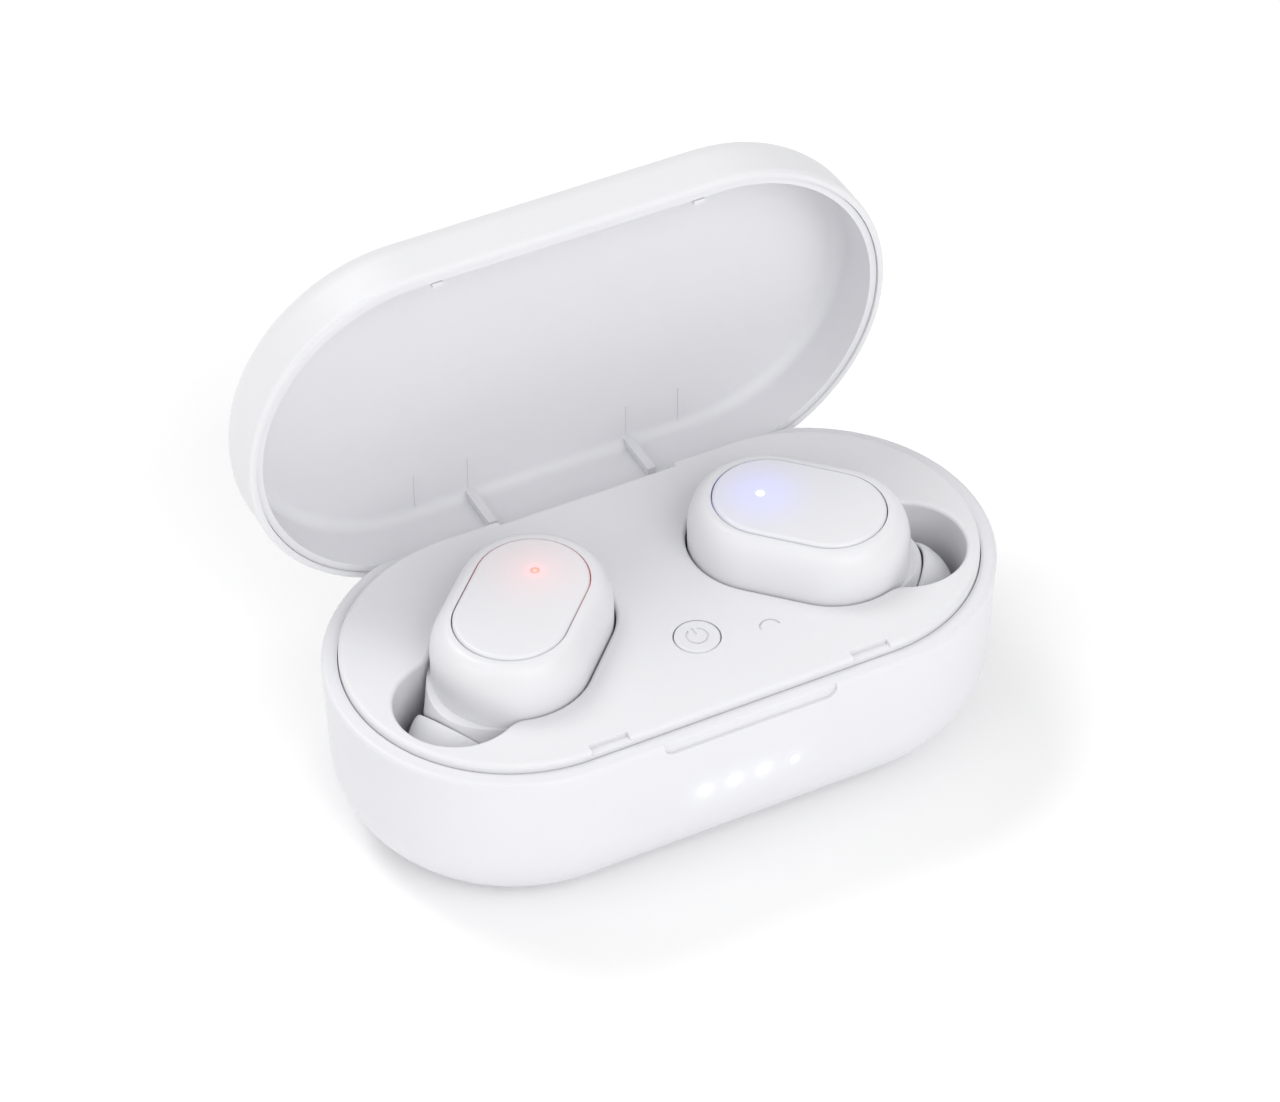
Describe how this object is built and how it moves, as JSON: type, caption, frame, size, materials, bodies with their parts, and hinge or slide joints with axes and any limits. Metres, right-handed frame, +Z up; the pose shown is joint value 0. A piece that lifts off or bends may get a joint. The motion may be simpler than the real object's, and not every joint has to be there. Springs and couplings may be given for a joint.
{
  "type": "wireless earbuds charging case",
  "caption": "Racetrack charging case, lid standing open on a back hinge, with a pair of earbuds docked in keyed pockets, a power button and a row of front lights.",
  "frame": {"origin": "centre of the base's flat underside", "axes": "+X along the case's length to the right, -Y the front with the lights and thumb notch, +Z up"},
  "size_m": [0.075, 0.0491, 0.0558],
  "materials": {
    "shell_white": "fine satin",
    "tray_white": "fine satin",
    "lid_white": "fine satin",
    "liner_white": "matte",
    "bud_white": "soft satin",
    "face_white": "soft satin",
    "button_white": "satin",
    "silicone": "matte silicone",
    "clear_pipe": "clear moulding",
    "lamp_white": "lit lamp",
    "lamp_red": "lit red lamp",
    "lamp_blue": "lit blue lamp",
    "board_green": "solder mask",
    "switch_black": "moulded",
    "cell_silver": "foil pouch",
    "steel": "bright",
    "gold": "gold plated",
    "magnet": "nickel plated",
    "foam": "foam",
    "gauze": "woven gauze",
    "capsule": "drawn can"
  },
  "bodies": {
    "case": {"base_shell": "shell_white", "tray": "tray_white", "tact_switch": "switch_black", "main_board": "board_green", "board_screws": "steel", "case_lights": "lamp_white", "light_guide": "clear_pipe", "battery": "cell_silver", "battery_pad": "foam", "charge_board": "board_green", "usb_socket": "steel", "hinge_pin": "steel", "contact_strip_left": "board_green", "dock_magnet_left": "magnet", "contact_strip_right": "board_green", "dock_magnet_right": "magnet"},
    "lid": {"lid_shell": "lid_white", "lid_liner": "liner_white"},
    "power_button": {"power_button": "button_white"},
    "bud_left": {"bud_shell_left": "bud_white", "bud_inner_left": "bud_white", "ear_tip_left": "silicone", "nozzle_mesh_left": "gauze", "speaker_left": "capsule", "bud_cell_left": "cell_silver", "bud_board_left": "board_green", "bud_magnet_left": "magnet", "bud_contacts_left": "gold", "bud_lamp_left": "lamp_red"},
    "face_left": {"bud_button_left": "face_white"},
    "pins_left": {"contact_pins_left": "gold"},
    "bud_right": {"bud_shell_right": "bud_white", "bud_inner_right": "bud_white", "ear_tip_right": "silicone", "nozzle_mesh_right": "gauze", "speaker_right": "capsule", "bud_cell_right": "cell_silver", "bud_board_right": "board_green", "bud_magnet_right": "magnet", "bud_contacts_right": "gold", "bud_lamp_right": "lamp_blue"},
    "face_right": {"bud_button_right": "face_white"},
    "pins_right": {"contact_pins_right": "gold"}
  },
  "joints": [
    {"name": "lid_hinge", "type": "hinge", "parent": "case", "child": "lid", "pos_m": [0, 0.0177, 0.01805], "axis": [-1, 0, 0], "range_deg": [-90, 0]},
    {"name": "power_button_press", "type": "slide", "parent": "case", "child": "power_button", "axis": [0, 0, -1], "range_m": [0, 0.0005], "stiffness_N_per_m": 1500, "springref_m": -0.0003},
    {"name": "bud_left_lift", "type": "slide", "parent": "case", "child": "bud_left", "axis": [0, 0, 1], "range_m": [0, 0.02]},
    {"name": "face_left_press", "type": "slide", "parent": "bud_left", "child": "face_left", "axis": [0, 0, -1], "range_m": [0, 0.0003], "stiffness_N_per_m": 1500, "springref_m": -0.0002},
    {"name": "pins_left_rise", "type": "slide", "parent": "case", "child": "pins_left", "axis": [0, 0, 1], "range_m": [0, 0.0006]},
    {"name": "bud_right_lift", "type": "slide", "parent": "case", "child": "bud_right", "axis": [0, 0, 1], "range_m": [0, 0.02]},
    {"name": "face_right_press", "type": "slide", "parent": "bud_right", "child": "face_right", "axis": [0, 0, -1], "range_m": [0, 0.0003], "stiffness_N_per_m": 1500, "springref_m": -0.0002},
    {"name": "pins_right_rise", "type": "slide", "parent": "case", "child": "pins_right", "axis": [0, 0, 1], "range_m": [0, 0.0006]}
  ],
  "couplings": [
    {"joint": "pins_left_rise", "follows": "bud_left_lift", "ratio": 0.03},
    {"joint": "pins_right_rise", "follows": "bud_right_lift", "ratio": 0.03}
  ]
}
